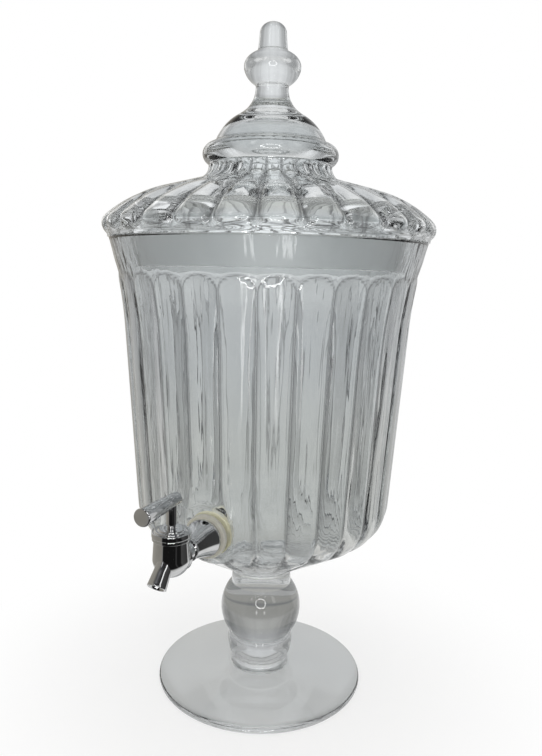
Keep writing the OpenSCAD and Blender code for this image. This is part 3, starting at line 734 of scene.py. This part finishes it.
def lid_groove_shade(x, y, z):
    """Painted shade: darker lines along the lid's grooves that end in arches above its edge."""
    q = math.hypot(across_lobe(x, y), max(0.0, LID_ARCH_Z - z) / LID_ARCH_H)
    dark = smooth(0.78, 0.9, q) * (1 - 0.6 * smooth(0.95, 1.0, q)) * (1 - smooth(1.0, 1.12, q))
    return dark if z > RIM_Z + 1 else 0.0


lid = make_piece(build_lid(), "lid_shell_glass", 50, "lid", LID_GLASS, "lid_shell")
lid.visible_shadow = tank.visible_shadow = False
paint_groove_shade(lid, lid_groove_shade)

# Ground outside of the skirt
lid.data.materials.append(GROUND_GLASS)
for face in lid.data.polygons:
    on_skirt = face.center.xy.length > (SKIRT_R - 2.6) * MM
    if on_skirt and face.center.z < (RIM_Z - 1) * MM:
        face.material_index = 1

# Crown: a hollow cap on a bead, with a flare that runs up to the finial
crown_in = [(0, CAP_Z + CAP_IN_H)]
for t in spread(0.05, math.pi / 2, 26):
    crown_in.append((CAP_IN_R * math.sin(t), CAP_Z + CAP_IN_H * math.cos(t)))
crown_in += line((CAP_IN_R, CAP_Z), (CROWN_IN_R, LID_TOP + 2), 6)
crown_in += [(CROWN_IN_R, LID_TOP + 2), (CROWN_IN_R, LID_TOP)]
crown_out = [(LID_NECK_R, LID_TOP)] + arc(BEAD_C, BEAD_R, -66.4, 80, 30)
crown_out += arc(CAP_C, CAP_R, 21.5, 60.0, 28)
flare_mid, flare_end = (13.6, CROWN_TOP - 16.075), (FINIAL_NECK_R, CROWN_TOP - 2.275)
crown_out += curve(crown_out[-1], flare_mid, flare_end, 20)[1:]
crown_out += [(FINIAL_NECK_R, CROWN_TOP)]
glass_piece("lid_crown_glass", [crown_in, crown_out], "lid", "lid_crown", GLASS)

# Finial: a round knop with a blunt tip
finial_line = []
for t in spread(-KNOP_LOW_T, KNOP_HIGH_T - 0.1, 44):
    height = KNOP_LOW_H if t < 0 else KNOP_HIGH_H
    finial_line.append((KNOP_R * math.cos(t), KNOP_Z + height * math.sin(t)))
tip_low, tip_high = (11.8, TIP_Z + 3.0), (10.95, TOP_Z - 10.367)
finial_line += curve(finial_line[-1], (12.1, TIP_Z - 0.3), tip_low, 8)[1:]
finial_line += line(tip_low, tip_high, 8)[1:]
for t in spread(0.0, math.pi / 2, 18):
    finial_line.append((TIP_R * math.cos(t), TOP_Z - TIP_ROUND_H * (1 - math.sin(t))))
glass_piece("finial_glass", [finial_line + [(0, TOP_Z)]], "lid", "finial", GLASS)


# Chrome of the tap
def build_tap_body():
    """Threaded shank, shoulder ring, neck and round-bottomed barrel."""
    bm = bmesh.new()
    thread_end = PAD_Y - SHANK_Y
    shank = [(SHANK_BORE_R, 60), (SHANK_BORE_R, 0.6), (4.8, 0), (6.4, 0)]
    shank += [(SHANK_R - THREAD_DEPTH, 0.6)]
    shank += [(SHANK_R, z) for z in spread(0.8, thread_end, 110)]
    shank += [(SHANK_R, thread_end + 0.6), (SHANK_R, SHOULDER_Y - SHANK_Y)]

    def thread(r, z, a):
        if r != SHANK_R or z > thread_end:
            return r
        phase = (z / THREAD_PITCH - a / (2 * math.pi)) % 1
        fade = min(1.0, (thread_end - z) / 1.5)
        return r - THREAD_DEPTH * fade * min(1.0, max(0.0, abs(phase - 0.5) * 3.2 - 0.35))

    lathe(bm, shank, 96, along_tap(SHANK_Y), thread)
    ring = [(7.0, 0), (SHOULDER_RING_R, 0), (SHOULDER_RING_R, 2), (7.0, 2)]
    lathe(bm, rounded(ring, 0.55), 96, along_tap(SHOULDER_Y))
    neck_l = BARREL_Y - SHOULDER_Y
    root = (INLET_R, neck_l - 14)
    neck = [(INLET_R, 1.5), root]
    neck += curve(root, (INLET_R, neck_l - 11.3), (10.5, neck_l - 10.5), 8)
    lathe(bm, neck + [(10.0, neck_l - 6)], 96, along_tap(SHOULDER_Y))
    barrel = [(0, -BARREL_R)] + arc((0, 0), BARREL_R, -84, -2, 30) + [(BARREL_R - 0.08, 1.2)]
    barrel += curve((BARREL_TOP_R + 0.05, LIP_Z - 0.6), (BARREL_TOP_R, LIP_Z), (12.6, LIP_Z), 4)
    lip = [(12.6, LIP_Z), (LIP_R, LIP_Z), (LIP_R, BARREL_H), (12.2, BARREL_H)]
    barrel += rounded(lip, 0.5)[1:] + [(SPIGOT_BORE_R, BARREL_H), (SPIGOT_BORE_R, 12)]
    lathe(bm, barrel, 128, at_barrel())
    return bm


def build_spout():
    """Flared tube whose inner end follows the barrel."""
    outlet = Matrix.Translation((0, -SPOUT_REACH, -SPOUT_DROP))
    place = at_barrel() @ outlet @ Matrix.Rotation(-SPOUT_LEAN, 4, "X")
    inward = at_barrel().inverted() @ place
    core_r = 12.1

    def depth(r, a):
        """How far a line of the tube runs before it is inside the barrel's wall."""
        low, high = 2.0, 26.0
        for _ in range(40):
            mid = (low + high) / 2
            p = inward @ Vector(polar(r, a, mid))
            core = core_r if p.z < 0 else core_r - 0.9 * p.z / BARREL_H
            gone = p.length if p.z < 0 else math.hypot(p.x, p.y)
            low, high = (mid, high) if gone > core else (low, mid)
        return low

    turns = spread(0, 2 * math.pi, 96)
    bore_end = [depth(SPOUT_BORE_R, a) for a in turns]
    out_end = [depth(SPOUT_R, a) for a in turns]
    rows = []
    for k in spread(1.0, 0.0, 6) + [0.0]:
        rows.append([(SPOUT_BORE_R, a, 2 + (e - 2) * k) for a, e in zip(turns, bore_end)])
    mouth = curve((4.75, 1.4), (5.3, 0.2), (5.7, 0.05), 4)
    mouth += curve((6.2, 0.0), (6.7, 0.0), (OUTLET_R, 0.5), 5)
    rows += [[(r, a, z) for a in turns] for r, z in mouth]
    for k in range(1, 11):
        heights = [0.5 + (e - 0.5) * k / 10 for e in out_end]
        flare = [max(SPOUT_R, OUTLET_R - 0.8 * z / 12) for z in heights]
        rows.append(list(zip(flare, turns, heights)))
    bm = bmesh.new()
    rings(bm, [[place @ Vector(polar(*point)) for point in row] for row in rows])
    return bm


make_piece(build_tap_body(), "tap_body_chrome", 40, "urn", CHROME, "tap_body")
make_piece(build_spout(), "spout_tube_chrome", 50, "urn", CHROME, "spout_tube")

# Bell-shaped collar
bell = rounded([(FITTED_R, COLLAR_L), (FITTED_R, 0), (COLLAR_R, 0), (COLLAR_R, 2.4)], 0.7)
for t in [step / 32 for step in range(33)]:
    narrow = (1 - t) * (1 - 0.35 * t)
    bell.append((COLLAR_END_R + (COLLAR_R - COLLAR_END_R) * narrow, 2.6 + 21.1 * t))
bell += [(COLLAR_END_R - 0.3, COLLAR_L), (FITTED_R, COLLAR_L)]
chrome_piece("collar_chrome", bell, along_tap(COLLAR_Y), "urn", "collar")

# Stepped bonnet
cap = [(SPIGOT_R, -3), (SPIGOT_R, 0), (BONNET_R, 0), (BONNET_R, BONNET_H)]
for step, r in enumerate((STEP_R, BOSS_R)):
    foot_z = BONNET_H + step * STEP_H
    cap += [(r, foot_z), (r - STEP_BEVEL, foot_z + STEP_H)]
cap += [(SPINDLE_HOLE_R, BONNET_H + 2 * STEP_H), (SPINDLE_HOLE_R, 1)]
chrome_piece("bonnet_chrome", rounded(cap, 0.55, 5), at_barrel(BARREL_H), "urn", "bonnet")

# Post and bar of the handle
sleeve = [(POST_BORE_R, 30), (POST_BORE_R, POST_Z), (POST_R, POST_Z)]
sleeve = rounded(sleeve + [(POST_R, POST_TOP), (0, POST_TOP)], 0.5, 5)
chrome_piece("handle_post_chrome", sleeve, at_barrel(), "handle", "handle_post", 96)

bar_back = at_barrel(BAR_RISE) @ Matrix.Translation((0, BAR_BACK_L, 0))
bar_place = bar_back @ Matrix.Rotation(math.pi / 2, 4, "X")
bar = [(BAR_HOLE_R, 3.0), (BAR_HOLE_R, 0), (BAR_BACK_R, 0), (BAR_FRONT_R, BAR_L), (0, BAR_L)]
chrome_piece("handle_bar_chrome", rounded(bar, 0.9, 6), bar_place, "handle", "handle_bar")


# Washers, nut and seals
def washer_side(r, high, bulge, middle, rounding):
    """Outline of a ring whose rim bulges at its middle height."""
    side = [(FITTED_R, 0), (r - bulge, 0), (r, middle), (r - bulge, high)]
    return rounded(side + [(FITTED_R, high), (FITTED_R, 0)], rounding, 5)


outer_side = washer_side(OUTER_WASHER_R, OUTER_WASHER_H, bulge=0.4, middle=2.2, rounding=1.0)
turned_piece("outer_washer_soft", [(outer_side, along_tap(PAD_Y))], "urn",
             CLEAR_SILICONE, "outer_washer", 50)
inner_side = washer_side(INNER_WASHER_R, INNER_WASHER_H, bulge=0.3, middle=1.5, rounding=0.9)
turned_piece("inner_washer_soft", [(inner_side, along_tap(NUT_Y))], "urn",
             SILICONE, "inner_washer", 50)


def build_nut():
    """A hexagon nut with turned bevels."""
    bm = bmesh.new()

    def hexagon(r, z, a):
        if r < 9:
            return r
        turn = (a + math.pi / 6) % (math.pi / 3) - math.pi / 6
        return min(NUT_FLAT_R / math.cos(turn), r)

    side = [(FITTED_R, 0), (8.2, 0), (15.4, 0), (NUT_CORNER_R, 1.1)]
    side += [(r, NUT_H - z) for r, z in reversed(side)]
    lathe(bm, side, 144, along_tap(NUT_Y - NUT_H), hexagon)
    return bm


make_piece(build_nut(), "lock_nut_plastic", 25, "urn", NUT, "lock_nut")

FINISHES = {"valve_plug": CHROME, "stop_pin": CHROME, "handle_set_screw": CHROME,
            "bonnet_gasket": RUBBER, "stem_o_ring": RUBBER, "plug_o_rings": RUBBER}
for name, finish in FINISHES.items():
    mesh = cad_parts[name].data
    mesh.materials.clear()
    mesh.materials.append(finish)


# Floor, world, lamps and camera, in metres
PHOTO_H = 756
SENSOR = 36.0
FOCAL_PX = 685.2
SHIFT_PX = 5.34
CAMERA_T = math.radians(22.75)
CAMERA_PITCH = math.radians(9.05)
CAMERA_ROLL = math.radians(1.29)
CAMERA_REACH = 0.583
CAMERA_Z = 0.3652
GROUND_Z = -0.0004  # just under the foot
CARD_COLUMNS = 360
EYE_Z = 0.2  # height from which the cards' rise is counted


def combine(tree, operation, a, b):
    """Works two sockets or numbers into one value."""
    node = tree.nodes.new("ShaderNodeMath")
    node.operation = operation
    for socket, value in zip(node.inputs, (a, b)):
        if isinstance(value, float):
            socket.default_value = value
        else:
            tree.links.new(value, socket)
    return node.outputs[0]


def seen_white(tree, glass_share):
    """1 for rays that the camera or metal sends, a share for those that glass sends, else 0."""
    path = tree.nodes.new("ShaderNodeLightPath")
    seen = combine(tree, "MAXIMUM", path.outputs["Is Camera Ray"], path.outputs["Is Glossy Ray"])
    loss = combine(tree, "MULTIPLY", path.outputs["Is Transmission Ray"], 1 - glass_share)
    return combine(tree, "SUBTRACT", seen, loss)


def floor_white():
    """Pale matt floor that shows pure white where it is seen, and darker close to the object."""
    mat, tree, bsdf = material("floor_white")
    bsdf.inputs["Roughness"].default_value = 0.9
    bsdf.inputs["Specular IOR Level"].default_value = 0.0
    space = own_space(tree)
    grain = noise(tree, space, Scale=30.0, Detail=3.0)
    colour = ramp(tree, grain, [(0.3, (0.93, 0.925, 0.91)), (0.7, (0.95, 0.945, 0.93))])
    tree.links.new(colour, bsdf.inputs["Base Color"])
    far = tree.nodes.new("ShaderNodeVectorMath")
    far.operation = "LENGTH"
    tree.links.new(space, far.inputs[0])
    fade = add(tree, "ShaderNodeMapRange", From_Min=0.08, From_Max=0.3, To_Min=0.7, To_Max=1.0)
    fade.interpolation_type = "SMOOTHSTEP"
    tree.links.new(far.outputs["Value"], fade.inputs["Value"])
    share = combine(tree, "MULTIPLY", seen_white(tree, 0.75), fade.outputs["Result"])
    white = add(tree, "ShaderNodeEmission", Color=(1, 1, 1, 1), Strength=1.0)
    mix = tree.nodes.new("ShaderNodeMixShader")
    for socket, source in zip(mix.inputs, (share, bsdf.outputs[0], white.outputs[0])):
        tree.links.new(source, socket)
    tree.links.new(mix.outputs[0], tree.nodes["Material Output"].inputs["Surface"])
    return mat


def build_floor():
    bm = bmesh.new()
    turns = spread(0, 2 * math.pi, 64)
    rows = [[(0, 0, GROUND_Z)]]
    for r in (0.1, 0.2, 0.3, 0.5, 0.8, 1.4, 2.4, 4.0, 7.0):
        rows.append([polar(r, a, GROUND_Z) for a in reversed(turns)])
    rings(bm, rows)
    mesh = bpy.data.meshes.new("floor")
    bm.to_mesh(mesh)
    bm.free()
    floor = bpy.data.objects.new("floor", mesh)
    scene.collection.objects.link(floor)
    mesh.materials.append(floor_white())


def build_world():
    world = bpy.data.worlds.new("studio")
    scene.world = world
    world.use_nodes = True
    tree = world.node_tree
    back = tree.nodes["Background"]
    back.inputs["Color"].default_value = (1, 1, 1, 1)
    tree.links.new(span(tree, seen_white(tree, 1.0), 0.62, 1.0), back.inputs["Strength"])


def around(angle, distance, height):
    """A place at an angle from the camera's side, counted to the camera's right."""
    a = CAMERA_T + math.radians(angle)
    return Vector((distance * math.sin(a), -distance * math.cos(a), height))


def stage_light(name, bm, glossy, strength):
    """A glowing stage piece, painted by its vertices, seen only by gloss or only through glass."""
    mesh = bpy.data.meshes.new(name)
    bm.to_mesh(mesh)
    bm.free()
    obj = bpy.data.objects.new(name, mesh)
    scene.collection.objects.link(obj)
    obj.visible_camera = obj.visible_diffuse = obj.visible_shadow = False
    obj.visible_glossy, obj.visible_transmission = glossy, not glossy
    mat = bpy.data.materials.new(name)
    mat.use_nodes = True
    tree = mat.node_tree
    tree.nodes.clear()
    glow = add(tree, "ShaderNodeEmission", Color=(1, 1, 1, 1), Strength=strength)
    if "shade" in mesh.color_attributes:
        paint = tree.nodes.new("ShaderNodeAttribute")
        paint.attribute_name = "shade"
        tree.links.new(paint.outputs["Color"], glow.inputs["Color"])
    out = tree.nodes.new("ShaderNodeOutputMaterial")
    tree.links.new(glow.outputs[0], out.inputs["Surface"])
    mesh.materials.append(mat)


def build_card(name, outline, shade, glossy):
    """A studio card that closes round and over the object, seen only by glass or only by gloss."""
    bm = bmesh.new()
    layer = bm.verts.layers.float_color.new("shade")
    made = []
    for r, z in outline:
        rise = math.degrees(math.atan2(z - EYE_Z, r))
        row = []
        for angle in spread(-180, 180, CARD_COLUMNS):
            v = bm.verts.new(around(angle, r, z))
            v[layer] = (*shade(angle, rise, r), 1)
            row.append(v)
        made.append(row)
    for lower, upper in zip(made, made[1:]):
        for j in range(CARD_COLUMNS):
            k = (j + 1) % CARD_COLUMNS
            bm.faces.new((lower[j], lower[k], upper[k], upper[j]))
    stage_light(name, bm, glossy, 1.0)


def mixed(a, b, t):
    return tuple(x + (y - x) * t for x, y in zip(a, b))


def through_glass(angle, rise, r):
    """Pale striped room, warmer on the near floor, that runs out to white above."""
    t = math.radians(angle)
    broad = 0.5 + 0.5 * math.cos(4 * t)
    fine = 0.5 * math.sin(17 * t + 0.6) + 0.3 * math.sin(26 * t + 2.1)
    fine += 0.2 * math.sin(41 * t + 4.0)
    dark_bar = smooth(0.8, 0.97, math.sin(31 * t + 1.0)) * (0.5 + 0.5 * math.sin(7 * t))
    light_bar = smooth(0.86, 0.98, math.sin(23 * t + 3.0)) * (0.5 + 0.5 * math.sin(5 * t + 2))
    level = 0.36 + 0.48 * broad + 0.05 * fine - 0.08 * dark_bar + 0.12 * light_bar
    level *= 1 + 0.22 * smooth(3, 14, rise)
    cool = smooth(-18, 2, rise)
    tone = (level * (1 - 0.01 * cool), level, level * (0.97 + 0.045 * cool))
    near_floor, foot_shade, ceiling = (0.66, 0.65, 0.62), (0.4, 0.41, 0.42), (0.95, 0.95, 0.95)
    tone = mixed(near_floor, tone, smooth(0.126, 0.3, r))
    tone = mixed(foot_shade, tone, smooth(0.0, 0.005, abs(r - 0.128)))
    return mixed(tone, ceiling, smooth(35, 65, rise))


# Walls of the room that gloss shows: angle from the camera's side, and level
WALL_STOPS = ((-180, 0.5), (-43, 0.34), (-39, 0.012), (18, 0.012), (21, 0.05), (25, 0.05),
              (28, 0.012), (47, 0.015), (52, 0.09), (100, 0.05), (110, 0.75), (180, 0.5))
# Its windows and low lights: level, middle and half width, lower and upper rise in degrees
WINDOWS = ((3.0, -30, 4, 26, 46), (1.6, 44, 5, 16, 42), (7.0, -11, 1.5, -12, -3),
           (7.0, 11, 1.5, -12, -3), (1.2, 128, 8, 16, 44), (1.2, -140, 8, 16, 44))


def window(angle, rise, middle, half_width, low, high):
    side = 1 - smooth(half_width - 2, half_width + 2, abs(angle - middle))
    return side * smooth(low - 3, low + 2, rise) * (1 - smooth(high - 2, high + 3, rise))


def on_metal(angle, rise, r):
    """A dim room with bright windows over a pale floor, as chrome and gloss show it."""
    level = float(np.interp(angle, *zip(*WALL_STOPS)))
    warm = 1 - smooth(-46, -40, angle)
    tone = (level, level * (1 - 0.05 * warm), level * (1 - 0.15 * warm))
    beam = 0.10 + 0.16 * smooth(0.75, 0.95, math.sin(math.radians(rise * 22)))
    tone = mixed(tone, (beam, beam, 1.05 * beam), smooth(38, 55, rise))
    if rise < 0:
        tone = mixed((0.8, 0.8, 0.79), tone, smooth(0.24, 0.32, r))
    light = sum(bright * window(angle, rise, *place) for bright, *place in WINDOWS)
    return tuple(c + light for c in tone)


def bowl(low_r, wide):
    """Outline from the floor round the object up and over it."""
    flat, bend, side = 0.62 * wide, 0.38 * wide, 0.7 * wide
    out = [(r, MM) for r in spread(low_r, flat, 60)]
    for t in spread(0, math.pi / 2, 12):
        out.append((flat + bend * math.sin(t), MM + bend * (1 - math.cos(t))))
    out += [(wide, z) for z in spread(bend, side, 10)]
    for t in spread(0, math.pi / 2, 24):
        out.append((wide * math.cos(t), side + 0.8 * wide * math.sin(t)))
    return out + [(MM, 1.5 * wide)]


def build_ring_light():
    """A ring of light round the camera, which glass and chrome show as small bright rings."""
    bm = bmesh.new()
    place = scene.camera.matrix_world
    turns = spread(0, 2 * math.pi, 96)
    rings(bm, [[place @ Vector(polar(r, a, 0)) for a in turns] for r in (0.14, 0.168)])
    stage_light("ring_light", bm, True, 12.0)


def lamp(name, angle, distance, height, radiance):
    """A flat lamp that looks at the middle of the object."""
    wide, tall, target = 0.6, 0.8, Vector((0, 0, 0.28))
    data = bpy.data.lights.new(name, "AREA")
    data.shape, data.size, data.size_y = "RECTANGLE", wide, tall
    data.energy = radiance * math.pi * wide * tall
    obj = bpy.data.objects.new(name, data)
    scene.collection.objects.link(obj)
    obj.location = around(angle, distance, height)
    obj.rotation_euler = (target - obj.location).to_track_quat("-Z", "Y").to_euler()
    obj.visible_camera = False


def build_camera():
    data = bpy.data.cameras.new("camera")
    cam = bpy.data.objects.new("camera", data)
    scene.collection.objects.link(cam)
    data.sensor_width = SENSOR
    data.lens = FOCAL_PX * SENSOR / PHOTO_H
    data.shift_x = SHIFT_PX / PHOTO_H
    data.clip_start, data.clip_end = 0.02, 50
    ahead = Vector((-math.sin(CAMERA_T), math.cos(CAMERA_T), 0))
    right = Vector((math.cos(CAMERA_T), math.sin(CAMERA_T), 0))
    look = ahead * math.cos(CAMERA_PITCH) - Vector((0, 0, 1)) * math.sin(CAMERA_PITCH)
    up = right.cross(look)
    turned_right = right * math.cos(CAMERA_ROLL) + up * math.sin(CAMERA_ROLL)
    turned_up = up * math.cos(CAMERA_ROLL) - right * math.sin(CAMERA_ROLL)
    place = Matrix((turned_right, turned_up, -look)).transposed().to_4x4()
    place.translation = around(0, CAMERA_REACH, CAMERA_Z)
    cam.matrix_world = place
    scene.camera = cam


build_floor()
build_world()
build_card("glass_card", bowl(0.105, 0.9), through_glass, False)
build_card("gloss_card", bowl(0.22, 1.0), on_metal, True)
lamp("key", angle=-48, distance=1.7, height=1.5, radiance=4.0)
lamp("fill", angle=42, distance=1.8, height=1.3, radiance=3.0)
build_camera()
build_ring_light()

scene.view_settings.view_transform = "Standard"
scene.cycles.max_bounces = 24
scene.cycles.transmission_bounces = 24
scene.cycles.glossy_bounces = 8
